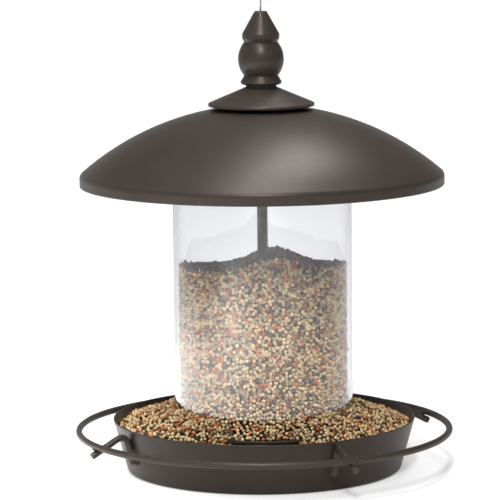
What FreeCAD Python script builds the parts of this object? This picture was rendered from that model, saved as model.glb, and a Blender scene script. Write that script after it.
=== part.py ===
"""Hanging seed feeder: a roofed clear tube over a round tray with a perch ring.

Millimetres, +Z up. The origin is the centre of the tray's flat underside, and nothing
reaches lower. The front is -Y.
"""
import FreeCAD, Part
import math
import os

import Sketcher
from FreeCAD import Placement, Rotation, Vector

# Driving dimensions: alias in the sheet, value, meaning.
SIZES = [
    ("sheet_metal", 1.2, "Thickness of every sheet metal piece"),
    ("weld_gap", 0.05, "Gap left where pieces are welded, swaged or screwed together"),
    ("rest_gap", 0.1, "Gap under a piece that rests on another and can be lifted off"),
    ("running_gap", 0.3, "Sideways clearance round a piece that slides"),
    ("feed_gap", 0.3, "Gap between the feed and what holds it"),
    ("tray_rim_radius", 104.4, "Tray, centre to outside of the rim"),
    ("tray_base_radius", 94.5, "Tray, centre to outside of the base"),
    ("tray_height", 35.6, "Tray, underside to rim"),
    ("tray_corner", 2.5, "Outside radius where the tray's base meets its wall"),
    ("boss_radius", 17.0, "Raised boss in the middle of the tray"),
    ("boss_height", 9.0, "Top of the boss above the underside"),
    ("drain_radius", 1.2, "Drain hole"),
    ("drain_circle", 78.0, "Circle that the drain holes lie on"),
    ("ring_radius", 128.1, "Perch ring, centre to middle of the wire"),
    ("ring_wire", 2.3, "Radius of the perch ring's wire"),
    ("ring_drop", 8.85, "Middle of the perch ring below the tray's rim"),
    ("ring_seam", 0.3, "Gap of the butt joint in the perch ring"),
    ("ring_seam_direction", 12.5, "Angle of the butt joint from +X"),
    ("bracket_wire", 2.3, "Radius of the brackets' wire"),
    ("bracket_foot", 12.0, "Lower end of a bracket's leg above the underside"),
    ("bracket_drop", 2.6, "Corner of a bracket below the tray's rim"),
    ("bracket_bend", 5.0, "Bend radius of a bracket"),
    ("bracket_reach", 3.0, "How far a bracket runs out past the middle of the ring"),
    ("bracket_direction", 27.0, "Angle of the first bracket from +X"),
    ("seat_underside", 27.5, "Underside of the tube's seat above the tray's underside"),
    ("seat_ledge", 2.5, "How far the seat reaches in past the tube's bore"),
    ("seat_lip", 1.3, "Height of the lip round the tube above the seat"),
    ("seat_leg_radius", 2.0, "Radius of a leg under the seat"),
    ("tube_radius", 61.5, "Outside radius of the clear tube"),
    ("tube_wall", 2.0, "Wall of the clear tube"),
    ("tube_length", 210.8, "Length of the clear tube"),
    ("rod_radius", 3.6, "Radius of the middle rod"),
    ("rod_foot", 1.0, "Lower end of the rod above the underside"),
    ("rod_thread", 14.2, "How far the rod reaches up into the finial"),
    ("washer_radius", 8.0, "Washer under the tray's boss"),
    ("nut_radius", 6.9, "Nuts, centre to corner"),
    ("nut_height", 4.5, "Height of a nut"),
    ("roof_radius", 125.0, "Roof, centre to outside of the lip"),
    ("roof_ball", 190.0, "Radius of the ball that the dome is part of"),
    ("roof_lip", 7.6, "Height of the upright lip below the dome"),
    ("roof_crease", 4.0, "Outside radius where the dome meets its lip"),
    ("collar_height", 8.0, "Ring inside the dome that centres it on the tube"),
    ("cap_radius", 36.4, "Cone cap, centre to outside of its lip"),
    ("cap_top_radius", 10.5, "Flat top of the cone cap"),
    ("cap_rise", 12.5, "Top of the cap above the top of the dome"),
    ("cap_fall", 11.0, "Top of the cap to the upper edge of its lip"),
    ("cap_lip", 2.0, "Height of the cap's lip"),
    ("spacer_wall", 1.8, "Wall of the spacer between dome and cap"),
    ("gasket_thickness", 1.6, "Rubber gasket under the finial"),
    ("finial_foot_radius", 14.1, "Finial, widest part of the foot"),
    ("finial_foot", 1.7, "Finial, base to the widest part of the foot"),
    ("finial_waist_radius", 11.6, "Finial, narrowest place above the foot"),
    ("finial_waist", 6.0, "Finial, base to the waist"),
    ("finial_bulb_curve", 18.0, "Finial, curve of the bulb's side"),
    ("finial_neck_radius", 11.4, "Finial, groove above the bulb"),
    ("finial_neck", 28.9, "Finial, base to the groove above the bulb"),
    ("finial_band_radius", 12.7, "Finial, band under the cone"),
    ("finial_band", 31.5, "Finial, base to the lower edge of the band"),
    ("finial_band_height", 3.0, "Finial, height of the band"),
    ("finial_top_radius", 4.1, "Finial, flat top"),
    ("finial_height", 49.8, "Finial, base to top"),
    ("cable_radius", 0.6, "Radius of the hanging cable"),
    ("cable_free", 56.4, "Cable seen between the finial and the eye fitting"),
    ("cable_bore", 1.6, "Radius of the hole that the cable passes through"),
    ("anchor_radius", 2.4, "Stop swaged on the cable's lower end"),
    ("anchor_length", 8.0, "Length of that stop"),
    ("eye_shank_radius", 2.3, "Shank of the eye fitting"),
    ("eye_shank", 13.0, "Length of the shank"),
    ("eye_ring", 6.5, "Eye, centre to middle of its wire"),
    ("eye_wire", 1.6, "Radius of the eye's wire"),
    ("seed_rod_level", 153.0, "Feed in the tube, height at the rod"),
    ("seed_wall_level", 146.5, "Feed in the tube, height at the wall"),
    ("heap_rise", 14.5, "Feed in the tray, height at the tube over height at the wall"),
    ("heap_drop", 5.1, "Feed in the tray, height at the wall below the rim"),
    ("eaten_tube_level", 25.5, "Eaten front of the feed, height at the tube"),
    ("eaten_wall_level", 13.5, "Eaten front of the feed, height at the wall"),
    ("eaten_angle", 44.0, "Width of the eaten front"),
]
DRAIN_HOLES = 6
BRACKET_NAMES = ["perch_bracket_right", "perch_bracket_back", "perch_bracket_left", "perch_bracket_front"]
SEAT_LEGS = 4
SEAT_LEG_START = 45.0
FRONT = -90.0


class Size:
    """A number with the sheet expression that gives it."""

    def __init__(self, value, text):
        self.value = value
        self.text = text

    def __add__(self, other):
        other = as_size(other)
        return Size(self.value + other.value, f"({self.text} + {other.text})")

    def __sub__(self, other):
        other = as_size(other)
        return Size(self.value - other.value, f"({self.text} - {other.text})")

    def __mul__(self, other):
        other = as_size(other)
        return Size(self.value * other.value, f"({self.text} * {other.text})")

    def __truediv__(self, other):
        other = as_size(other)
        return Size(self.value / other.value, f"({self.text} / {other.text})")


def as_size(number):
    return number if isinstance(number, Size) else Size(float(number), repr(float(number)))


def height_on_ball(ball, across):
    """Height above a ball's centre of the point at a distance across from its axis."""
    squared = ball * ball - across * across
    return Size(math.sqrt(squared.value), f"sqrt({squared.text})")


def make_sheet(document):
    sheet = document.addObject("Spreadsheet::Sheet", "Sizes")
    for row, (name, value, meaning) in enumerate(SIZES, 1):
        sheet.set(f"A{row}", meaning)
        sheet.set(f"B{row}", str(value))
        sheet.setAlias(f"B{row}", name)
    document.recompute()
    return {name: Size(float(value), f"Sizes.{name}") for name, value, meaning in SIZES}


def bind(item, path, size):
    item.setExpression(path, as_size(size).text)


def origin_plane(body, role):
    return next(plane for plane in body.Origin.OriginFeatures if plane.Role == role)


def plane_sketch(body, role, name):
    sketch = body.newObject("Sketcher::SketchObject", name)
    sketch.AttachmentSupport = [(origin_plane(body, role), "")]
    sketch.MapMode = "FlatFace"
    return sketch


def fix_point(sketch, geometry, point, across, up):
    """Hold one end of a line or arc at a place that the sheet gives."""
    for kind, axis, size in (("DistanceX", -2, across), ("DistanceY", -1, up)):
        size = as_size(size)
        if size.value == 0:
            sketch.addConstraint(Sketcher.Constraint("PointOnObject", geometry, point, axis))
            continue
        index = sketch.addConstraint(Sketcher.Constraint(kind, -1, 1, geometry, point, size.value))
        bind(sketch, f"Constraints[{index}]", size)


def arc_between(start, end, bend):
    """An arc of radius |bend| whose centre is left of the way from start to end, or right if bend < 0."""
    chord = end - start
    middle = (start + end) * 0.5
    inset = math.sqrt(max(bend * bend - chord.Length * chord.Length / 4, 0))
    left = Vector(-chord.y, chord.x, 0).normalize()
    centre = middle + left * (inset if bend > 0 else -inset)
    first, last = (start, end) if bend > 0 else (end, start)
    angles = [math.atan2(p.y - centre.y, p.x - centre.x) for p in (first, last)]
    return Part.ArcOfCircle(Part.Circle(centre, Vector(0, 0, 1), abs(bend)), angles[0], angles[1])


def draw_outline(sketch, corners):
    """Draw a closed outline.

    A corner is (across, up), or (across, up, bend, side) where an arc of radius bend arrives
    at it with its centre on the left (side 1) or on the right (side -1).
    """
    ends = []
    for index, corner in enumerate(corners):
        before = corners[index - 1]
        start = Vector(as_size(before[0]).value, as_size(before[1]).value, 0)
        end = Vector(as_size(corner[0]).value, as_size(corner[1]).value, 0)
        if len(corner) == 2:
            geometry = sketch.addGeometry(Part.LineSegment(start, end))
            ends.append((geometry, 1, 2))
            continue
        bend, side = corner[2:]
        geometry = sketch.addGeometry(arc_between(start, end, bend.value * side))
        ends.append((geometry, 1, 2) if side > 0 else (geometry, 2, 1))
        held = sketch.addConstraint(Sketcher.Constraint("Radius", geometry, bend.value))
        bind(sketch, f"Constraints[{held}]", bend)
    for index, corner in enumerate(corners):
        geometry, first, last = ends[index]
        following = ends[(index + 1) % len(ends)]
        sketch.addConstraint(Sketcher.Constraint("Coincident", geometry, last, following[0], following[1]))
        fix_point(sketch, geometry, last, corner[0], corner[1])


def turned(document, label, corners):
    """A body made by turning an outline, drawn as distance from the axis and height, about +Z."""
    body = document.addObject("PartDesign::Body", label)
    sketch = plane_sketch(body, "XZ_Plane", label + "_outline")
    draw_outline(sketch, corners)
    turn = body.newObject("PartDesign::Revolution", label + "_turn")
    turn.Profile = sketch
    turn.ReferenceAxis = (sketch, ["V_Axis"])
    turn.Angle = 360
    document.recompute()
    return body


def round_rings(body, places, radius):
    """Round the ring edges of a turned body that lie at the given distances and heights."""
    base = body.Tip
    names = []
    for index, edge in enumerate(base.Shape.Edges, 1):
        if not isinstance(edge.Curve, Part.Circle):
            continue
        centre = edge.Curve.Center
        if math.hypot(centre.x, centre.y) > 1e-6:
            continue
        for across, up in places:
            if abs(edge.Curve.Radius - across.value) < 0.01 and abs(centre.z - up.value) < 0.01:
                names.append(f"Edge{index}")
    if len(names) < len(places):
        raise RuntimeError(f"{body.Label}: an edge to round is missing")
    fillet = body.newObject("PartDesign::Fillet", f"{body.Name}_round")
    fillet.Base = (base, names)
    bind(fillet, "Radius", radius)
    body.Document.recompute()


def tray_wall_inside(size, up):
    """Distance from the axis to the inside of the tray's sloping wall at a height."""
    share = (up - size["sheet_metal"]) / (size["tray_height"] - size["sheet_metal"])
    widening = size["tray_rim_radius"] - size["tray_base_radius"]
    return size["tray_base_radius"] - size["sheet_metal"] + widening * share


def make_tray(document, size):
    sheet = size["sheet_metal"]
    hole = size["rod_radius"] + size["running_gap"]
    boss = size["boss_radius"]
    base = size["tray_base_radius"]
    rim = size["tray_rim_radius"]
    height = size["tray_height"]
    body = turned(document, "tray_pan", [
        (hole, size["boss_height"] - sheet),
        (boss - sheet, size["boss_height"] - sheet),
        (boss - sheet, 0),
        (base, 0),
        (rim, height),
        (rim - sheet, height),
        (base - sheet, sheet),
        (boss, sheet),
        (boss, size["boss_height"]),
        (hole, size["boss_height"]),
    ])
    round_rings(body, [(base, as_size(0))], size["tray_corner"])
    round_rings(body, [(base - sheet, sheet)], size["tray_corner"] - sheet)
    round_rings(body, [(boss, size["boss_height"])], sheet)
    round_rings(body, [(rim, height), (rim - sheet, height)], sheet * 0.4)
    solid = body.Shape.Volume
    sketch = plane_sketch(body, "XY_Plane", "drain_outline")
    sketch.addGeometry(Part.Circle(Vector(size["drain_circle"].value, 0, 0), Vector(0, 0, 1), size["drain_radius"].value))
    held = sketch.addConstraint(Sketcher.Constraint("Radius", 0, size["drain_radius"].value))
    bind(sketch, f"Constraints[{held}]", size["drain_radius"])
    fix_point(sketch, 0, 3, size["drain_circle"], 0)
    drain = body.newObject("PartDesign::Pocket", "drain_hole")
    drain.Profile = sketch
    drain.Type = "Length"
    bind(drain, "Length", sheet * 2)
    drain.Reversed = True
    document.recompute()
    holes = body.newObject("PartDesign::PolarPattern", "drain_holes")
    holes.Originals = [drain]
    holes.Axis = (sketch, ["N_Axis"])
    holes.Angle = 360
    holes.Occurrences = DRAIN_HOLES
    body.Tip = holes
    document.recompute()
    if body.Shape.Volume > solid - 1:
        raise RuntimeError("tray_pan: the drain holes cut nothing")
    return body


def make_perch_ring(document, size):
    ring = document.addObject("Part::Torus", "perch_ring")
    bind(ring, "Radius1", size["ring_radius"])
    bind(ring, "Radius2", size["ring_wire"])
    bind(ring, "Angle3", as_size(360) - size["ring_seam"] / size["ring_radius"] * math.degrees(1))
    ring.Placement = Placement(Vector(0, 0, 0), Rotation(Vector(0, 0, 1), size["ring_seam_direction"].value))
    bind(ring, "Placement.Base.z", ring_height(size))
    return ring


def ring_height(size):
    return size["tray_height"] - size["ring_drop"]


def make_bracket(document, size, label, direction):
    """A bent wire: a leg up the tray's wall, a bend, and an arm that runs down and out under the ring."""
    body = document.addObject("PartDesign::Body", label)
    route = plane_sketch(body, "XZ_Plane", label + "_route")
    offset = size["bracket_wire"] + size["weld_gap"]
    base = Vector(size["tray_base_radius"].value, 0, 0)
    rim = Vector(size["tray_rim_radius"].value, size["tray_height"].value, 0)
    ring = Vector(size["ring_radius"].value, ring_height(size).value, 0)
    along = (rim - base).normalize()
    out = Vector(along.y, -along.x, 0)
    corner_up = size["tray_height"] - size["bracket_drop"]
    corner = base + out * offset.value + along * (corner_up.value / along.y)
    foot = base + out * offset.value + along * (size["bracket_foot"].value / along.y)
    clear = (size["ring_wire"] + offset).value
    below = ring - Vector(0, clear * 1.1, 0)
    fall = (below - corner).normalize()
    tip = corner + fall * ((ring.x + size["bracket_reach"].value - corner.x) / fall.x)
    bend = size["bracket_bend"].value
    half = math.acos(along.dot(fall)) / 2
    leg_end = corner - along * (bend * math.tan(half))
    arm_start = corner + fall * (bend * math.tan(half))
    leg = route.addGeometry(Part.LineSegment(foot, leg_end))
    curve = route.addGeometry(arc_between(leg_end, arm_start, -bend))
    arm = route.addGeometry(Part.LineSegment(arm_start, tip))
    wall = route.addGeometry(Part.LineSegment(base, rim), True)
    ring_middle = route.addGeometry(Part.Point(ring), True)
    corner_mark = route.addGeometry(Part.Point(corner), True)
    fix_point(route, wall, 1, size["tray_base_radius"], 0)
    fix_point(route, wall, 2, size["tray_rim_radius"], size["tray_height"])
    fix_point(route, ring_middle, 1, size["ring_radius"], ring_height(size))
    for constraint in (
        Sketcher.Constraint("Tangent", leg, 2, curve, 2),
        Sketcher.Constraint("Tangent", curve, 1, arm, 1),
        Sketcher.Constraint("Parallel", leg, wall),
        Sketcher.Constraint("PointOnObject", corner_mark, 1, leg),
        Sketcher.Constraint("PointOnObject", corner_mark, 1, arm),
    ):
        route.addConstraint(constraint)
    for constraint, held in (
        (Sketcher.Constraint("Radius", curve, bend), size["bracket_bend"]),
        (Sketcher.Constraint("Distance", leg, 1, wall, offset.value), offset),
        (Sketcher.Constraint("Distance", ring_middle, 1, arm, clear), size["ring_wire"] + offset),
        (Sketcher.Constraint("DistanceY", -1, 1, leg, 1, foot.y), size["bracket_foot"]),
        (Sketcher.Constraint("DistanceY", -1, 1, corner_mark, 1, corner.y), corner_up),
        (Sketcher.Constraint("DistanceX", -1, 1, arm, 2, tip.x), size["ring_radius"] + size["bracket_reach"]),
    ):
        index = route.addConstraint(constraint)
        bind(route, f"Constraints[{index}]", held)
    document.recompute()
    section = body.newObject("Sketcher::SketchObject", label + "_section")
    section.AttachmentSupport = [(route, "Edge1")]
    section.MapMode = "NormalToEdge"
    section.addGeometry(Part.Circle(Vector(0, 0, 0), Vector(0, 0, 1), size["bracket_wire"].value))
    section.addConstraint(Sketcher.Constraint("Coincident", 0, 3, -1, 1))
    index = section.addConstraint(Sketcher.Constraint("Radius", 0, size["bracket_wire"].value))
    bind(section, f"Constraints[{index}]", size["bracket_wire"])
    pipe = body.newObject("PartDesign::AdditivePipe", label + "_wire")
    pipe.Profile = section
    pipe.Spine = (route, ["Edge1", "Edge2", "Edge3"])
    pipe.Transition = "Transformed"
    body.Placement = Placement(Vector(0, 0, 0), Rotation(Vector(0, 0, 1), direction))
    document.recompute()
    return body


def make_brackets(document, size):
    start = size["bracket_direction"].value
    turn = 360 / len(BRACKET_NAMES)
    return [make_bracket(document, size, name, start + turn * index) for index, name in enumerate(BRACKET_NAMES)]


def seat_inner(size):
    return size["tube_radius"] - size["tube_wall"] - size["seat_ledge"]


def seat_outer(size):
    return size["tube_radius"] + size["running_gap"] + size["sheet_metal"]


def seat_top(size):
    return size["seat_underside"] + size["sheet_metal"]


def make_seat(document, size):
    """The ring that the tube stands on, with a lip round the tube's foot."""
    lip_top = seat_top(size) + size["seat_lip"]
    bore = size["tube_radius"] + size["running_gap"]
    body = turned(document, "tube_seat", [
        (seat_inner(size), size["seat_underside"]),
        (seat_outer(size), size["seat_underside"]),
        (seat_outer(size), lip_top),
        (bore, lip_top),
        (bore, seat_top(size)),
        (seat_inner(size), seat_top(size)),
    ])
    round_rings(body, [(seat_outer(size), size["seat_underside"])], size["sheet_metal"] * 0.8)
    round_rings(body, [(seat_outer(size), lip_top)], size["sheet_metal"] * 0.6)
    return body


def make_seat_legs(document, size):
    """Short posts from the tray's floor to the seat; the feed runs out between them."""
    circle = (seat_inner(size) + seat_outer(size)) * 0.5
    legs = []
    for index in range(SEAT_LEGS):
        angle = SEAT_LEG_START + 360 / SEAT_LEGS * index
        leg = document.addObject("Part::Cylinder", f"seat_leg_{index}")
        bind(leg, "Radius", size["seat_leg_radius"])
        bind(leg, "Height", size["seat_underside"] - size["sheet_metal"])
        bind(leg, "Placement.Base.x", circle * math.cos(math.radians(angle)))
        bind(leg, "Placement.Base.y", circle * math.sin(math.radians(angle)))
        bind(leg, "Placement.Base.z", size["sheet_metal"])
        legs.append(leg)
    group = document.addObject("Part::Compound", "seat_legs")
    group.Links = legs
    document.recompute()
    return group


def tube_foot(size):
    return seat_top(size) + size["rest_gap"]


def make_tube(document, size):
    outside = size["tube_radius"]
    inside = outside - size["tube_wall"]
    top = tube_foot(size) + size["tube_length"]
    body = turned(document, "seed_tube", [
        (inside, tube_foot(size)),
        (outside, tube_foot(size)),
        (outside, top),
        (inside, top),
    ])
    round_rings(body, [(outside, top), (inside, top)], size["tube_wall"] * 0.15)
    return body


def ball_centre(size):
    """Height of the middle of the dome's ball, with the dome's underside resting on the tube."""
    underside = size["roof_ball"] - size["sheet_metal"]
    rest = tube_foot(size) + size["tube_length"] + size["running_gap"]
    return rest - height_on_ball(underside, size["tube_radius"])


def dome_top(size):
    return ball_centre(size) + size["roof_ball"]


def rod_hole(size):
    return size["rod_radius"] + size["running_gap"]


def make_dome(document, size):
    sheet = size["sheet_metal"]
    ball = size["roof_ball"]
    centre = ball_centre(size)
    hole = rod_hole(size)
    edge = size["roof_radius"]
    shoulder = centre + height_on_ball(ball, edge)
    under = centre + height_on_ball(ball - sheet, edge - sheet)
    bottom = shoulder - size["roof_lip"]
    body = turned(document, "roof_dome", [
        (hole, centre + height_on_ball(ball - sheet, hole)),
        (edge - sheet, under, ball - sheet, -1),
        (edge - sheet, bottom),
        (edge, bottom),
        (edge, shoulder),
        (hole, centre + height_on_ball(ball, hole), ball, 1),
    ])
    round_rings(body, [(edge, shoulder)], size["roof_crease"])
    round_rings(body, [(edge - sheet, under)], size["roof_crease"] - sheet)
    round_rings(body, [(edge, bottom)], sheet * 0.7)
    return body


def make_collar(document, size):
    """The ring under the dome that drops inside the tube and centres the roof."""
    outside = size["tube_radius"] - size["tube_wall"] - size["running_gap"]
    inside = outside - size["sheet_metal"]
    underside = size["roof_ball"] - size["sheet_metal"] - size["weld_gap"]
    centre = ball_centre(size)
    outer_top = centre + height_on_ball(underside, outside)
    inner_top = centre + height_on_ball(underside, inside)
    return turned(document, "roof_collar", [
        (inside, outer_top - size["collar_height"]),
        (outside, outer_top - size["collar_height"]),
        (outside, outer_top),
        (inside, inner_top),
    ])


def cap_top(size):
    return dome_top(size) + size["cap_rise"]


def make_cap(document, size):
    sheet = size["sheet_metal"]
    hole = rod_hole(size)
    top = cap_top(size)
    edge = size["cap_radius"]
    lip_top = top - size["cap_fall"]
    lip_bottom = lip_top - size["cap_lip"]
    body = turned(document, "roof_cap", [
        (hole, top - sheet),
        (size["cap_top_radius"] - sheet * 0.3, top - sheet),
        (edge - sheet, lip_top - sheet * 0.6),
        (edge - sheet, lip_bottom),
        (edge, lip_bottom),
        (edge, lip_top),
        (size["cap_top_radius"], top),
        (hole, top),
    ])
    round_rings(body, [(edge, lip_top)], sheet)
    round_rings(body, [(edge, lip_bottom)], sheet * 0.5)
    return body


def make_cap_spacer(document, size):
    """The sleeve round the rod that holds the cap's rim clear of the dome."""
    inside = rod_hole(size)
    outside = inside + size["spacer_wall"]
    foot = ball_centre(size) + height_on_ball(size["roof_ball"], inside) + size["weld_gap"]
    top = cap_top(size) - size["sheet_metal"] - size["weld_gap"]
    return turned(document, "cap_spacer", [(inside, foot), (outside, foot), (outside, top), (inside, top)])


def make_gasket(document, size):
    foot = cap_top(size) + size["rest_gap"]
    inside = rod_hole(size)
    return turned(document, "finial_gasket", [
        (inside, foot),
        (size["cap_top_radius"], foot),
        (size["cap_top_radius"], foot + size["gasket_thickness"]),
        (inside, foot + size["gasket_thickness"]),
    ])


def finial_base(size):
    return cap_top(size) + size["gasket_thickness"] + size["rest_gap"] * 2


def rod_top(size):
    return finial_base(size) + size["rod_thread"]


def make_finial(document, size):
    """A turned knob that screws down on the rod, with a fine bore above it for the cable."""
    base = finial_base(size)
    thread = size["rod_radius"] + size["weld_gap"] * 2
    bore_end = rod_top(size) + size["running_gap"] * 3
    band_top = base + size["finial_band"] + size["finial_band_height"]
    body = turned(document, "finial", [
        (thread, base),
        (size["finial_foot_radius"] - size["finial_foot"] * 0.7, base),
        (size["finial_foot_radius"], base + size["finial_foot"], size["finial_foot"] * 1.2, 1),
        (size["finial_waist_radius"], base + size["finial_waist"]),
        (size["finial_neck_radius"], base + size["finial_neck"], size["finial_bulb_curve"], 1),
        (size["finial_band_radius"], base + size["finial_band"]),
        (size["finial_band_radius"], band_top),
        (size["finial_top_radius"], base + size["finial_height"]),
        (size["cable_bore"], base + size["finial_height"]),
        (size["cable_bore"], bore_end),
        (thread, bore_end),
    ])
    round_rings(body, [(size["finial_band_radius"], band_top)], size["finial_band_height"] * 0.25)
    return body


def recess_top(size):
    return size["boss_height"] - size["sheet_metal"]


def make_rod(document, size):
    """The rod through the whole feeder, with a socket in its top for the cable's stop."""
    rod = size["rod_radius"]
    socket = size["anchor_radius"] + size["weld_gap"]
    floor = rod_top(size) - size["anchor_length"] - size["weld_gap"]
    return turned(document, "center_rod", [
        (0, size["rod_foot"]),
        (rod, size["rod_foot"]),
        (rod, rod_top(size)),
        (socket, rod_top(size)),
        (socket, floor),
        (0, floor),
    ])


def make_washer(document, size):
    inside = size["rod_radius"] + size["weld_gap"]
    top = recess_top(size) - size["weld_gap"]
    foot = top - size["sheet_metal"]
    return turned(document, "rod_washer", [
        (inside, foot),
        (size["washer_radius"], foot),
        (size["washer_radius"], top),
        (inside, top),
    ])


def make_nut(document, size, label, foot):
    blank = document.addObject("Part::Prism", label + "_blank")
    blank.Polygon = 6
    bind(blank, "Circumradius", size["nut_radius"])
    bind(blank, "Height", size["nut_height"])
    bind(blank, "Placement.Base.z", foot)
    bore = document.addObject("Part::Cylinder", label + "_bore")
    bind(bore, "Radius", size["rod_radius"] + size["weld_gap"])
    bind(bore, "Height", size["nut_height"] * 3)
    bind(bore, "Placement.Base.z", foot - size["nut_height"])
    nut = document.addObject("Part::Cut", label)
    nut.Base = blank
    nut.Tool = bore
    document.recompute()
    return nut


def make_nuts(document, size):
    lower = recess_top(size) - size["sheet_metal"] - size["weld_gap"] * 2 - size["nut_height"]
    upper = size["boss_height"] + size["weld_gap"]
    return [make_nut(document, size, "rod_nut", lower), make_nut(document, size, "rod_lock_nut", upper)]


def cylinder(document, label, radius, foot, length):
    item = document.addObject("Part::Cylinder", label)
    bind(item, "Radius", radius)
    bind(item, "Height", length)
    bind(item, "Placement.Base.z", foot)
    return item


def cable_end(size):
    return finial_base(size) + size["finial_height"] + size["cable_free"]


def make_cable(document, size):
    """The cable's stop and the straight, loaded cable from the stop to the eye fitting."""
    foot = rod_top(size) - size["anchor_length"]
    anchor = cylinder(document, "cable_anchor", size["anchor_radius"], foot, size["anchor_length"])
    length = cable_end(size) - rod_top(size)
    cable = cylinder(document, "hanging_cable", size["cable_radius"], rod_top(size), length)
    document.recompute()
    exact = math.pi * size["cable_radius"].value ** 2 * length.value
    if abs(cable.Shape.Volume - exact) > 0.001 * exact:
        raise RuntimeError("hanging_cable: the volume is not section times length")
    print(f"hanging_cable: straight, {length.value:.1f} long")
    return [anchor, cable]


def make_eye(document, size):
    """The eye fitting swaged on the cable's upper end."""
    shank = cylinder(document, "eye_shank", size["eye_shank_radius"], cable_end(size), size["eye_shank"])
    ring = document.addObject("Part::Torus", "eye_loop")
    bind(ring, "Radius1", size["eye_ring"])
    bind(ring, "Radius2", size["eye_wire"])
    ring.Placement = Placement(Vector(0, 0, 0), Rotation(Vector(1, 0, 0), 90))
    bind(ring, "Placement.Base.z", cable_end(size) + size["eye_shank"] + size["eye_ring"])
    eye = document.addObject("Part::Fuse", "cable_eye")
    eye.Base = shank
    eye.Tool = ring
    document.recompute()
    return eye


def make_seed_column(document, size):
    """The feed inside the tube, standing on the tray's floor round the boss, nut and rod."""
    gap = size["feed_gap"]
    floor = size["sheet_metal"] + gap
    below = seat_inner(size) - gap
    inside = size["tube_radius"] - size["tube_wall"] - gap
    boss = size["boss_radius"] + gap
    nut = size["nut_radius"] + gap
    rod = size["rod_radius"] + gap
    step = seat_top(size) + gap
    return turned(document, "seed_column", [
        (boss, floor),
        (below, floor),
        (below, step),
        (inside, step),
        (inside, size["seed_wall_level"]),
        (rod, size["seed_rod_level"]),
        (rod, size["boss_height"] + size["nut_height"] + gap * 2),
        (nut, size["boss_height"] + size["nut_height"] + gap * 2),
        (nut, size["boss_height"] + gap),
        (boss, size["boss_height"] + gap),
    ])


def make_seed_heap(document, size):
    """The feed in the tray outside the seat, eaten away over a sector at the front."""
    gap = size["feed_gap"]
    floor = size["sheet_metal"] + gap
    low = size["sheet_metal"] * 2 + size["tray_corner"]
    wall_level = size["tray_height"] - size["heap_drop"]
    tube_level = wall_level + size["heap_rise"]
    lip_top = seat_top(size) + size["seat_lip"] + gap
    beside_lip = seat_outer(size) + gap
    beside_tube = size["tube_radius"] + gap
    body = turned(document, "seed_heap", [
        (seat_inner(size), floor),
        (tray_wall_inside(size, floor) - size["tray_corner"], floor),
        (tray_wall_inside(size, low) - gap, low),
        (tray_wall_inside(size, wall_level) - gap, wall_level),
        (beside_tube, tube_level),
        (beside_tube, lip_top),
        (beside_lip, lip_top),
        (beside_lip, size["seat_underside"] - gap),
        (seat_inner(size), size["seat_underside"] - gap),
    ])
    sketch = plane_sketch(body, "XZ_Plane", "eaten_outline")
    above = size["tray_height"] + size["heap_rise"]
    outside = size["tray_rim_radius"] + gap
    inner = size["tube_radius"] - size["running_gap"] * 3
    draw_outline(sketch, [
        (inner, size["eaten_tube_level"]),
        (outside, size["eaten_wall_level"]),
        (outside, above),
        (inner, above),
    ])
    full = body.Shape.Volume
    eaten = body.newObject("PartDesign::Groove", "eaten_front")
    eaten.Profile = sketch
    eaten.ReferenceAxis = (sketch, ["V_Axis"])
    bind(eaten, "Angle", size["eaten_angle"])
    eaten.Midplane = True
    body.Placement = Placement(Vector(0, 0, 0), Rotation(Vector(0, 0, 1), FRONT))
    document.recompute()
    if body.Shape.Volume > full - 1:
        raise RuntimeError("seed_heap: the eaten front cut nothing")
    return cut_leg_holes(document, size, body)


def cut_leg_holes(document, size, heap):
    """Leave room in the heap for the legs under the seat."""
    sketch = plane_sketch(heap, "XY_Plane", "leg_hole_outline")
    circle = (seat_inner(size) + seat_outer(size)) * 0.5
    angle = math.radians(SEAT_LEG_START)
    hole = size["seat_leg_radius"] + size["feed_gap"]
    across = circle * math.cos(angle)
    up = circle * math.sin(angle)
    sketch.addGeometry(Part.Circle(Vector(across.value, up.value, 0), Vector(0, 0, 1), hole.value))
    index = sketch.addConstraint(Sketcher.Constraint("Radius", 0, hole.value))
    bind(sketch, f"Constraints[{index}]", hole)
    fix_point(sketch, 0, 3, across, up)
    first = heap.newObject("PartDesign::Pocket", "leg_hole")
    first.Profile = sketch
    first.Type = "Length"
    bind(first, "Length", size["seat_underside"])
    first.Reversed = True
    document.recompute()
    holes = heap.newObject("PartDesign::PolarPattern", "leg_holes")
    holes.Originals = [first]
    holes.Axis = (sketch, ["N_Axis"])
    holes.Angle = 360
    holes.Occurrences = SEAT_LEGS
    heap.Tip = holes
    document.recompute()
    return heap


def check_document(document, pieces):
    for item in document.Objects:
        if "Invalid" in item.State or "Error" in item.State:
            raise RuntimeError(f"{item.Label}: {item.State}")
    for piece in pieces:
        if piece.Shape.isNull() or not piece.Shape.isValid() or not piece.Shape.Solids:
            raise RuntimeError(f"{piece.Label}: no valid solid")


def write_steps(pieces):
    os.makedirs("parts", exist_ok=True)
    for piece in pieces:
        piece.Shape.exportStep(os.path.join("parts", piece.Label + ".step"))
        print(piece.Label, len(piece.Shape.Solids), round(piece.Shape.Volume, 1))


def main():
    document = FreeCAD.newDocument("seed_feeder")
    size = make_sheet(document)
    pieces = [make_tray(document, size), make_perch_ring(document, size)]
    pieces += make_brackets(document, size)
    pieces += [make_seat(document, size), make_seat_legs(document, size), make_tube(document, size)]
    pieces += [make_rod(document, size), make_washer(document, size)]
    pieces += make_nuts(document, size)
    pieces += [make_dome(document, size), make_collar(document, size)]
    pieces += [make_cap(document, size), make_cap_spacer(document, size)]
    pieces += [make_gasket(document, size), make_finial(document, size)]
    pieces += make_cable(document, size)
    pieces += [make_eye(document, size), make_seed_column(document, size), make_seed_heap(document, size)]
    document.recompute()
    check_document(document, pieces)
    write_steps(pieces)


main()
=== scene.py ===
import functools
import math

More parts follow.
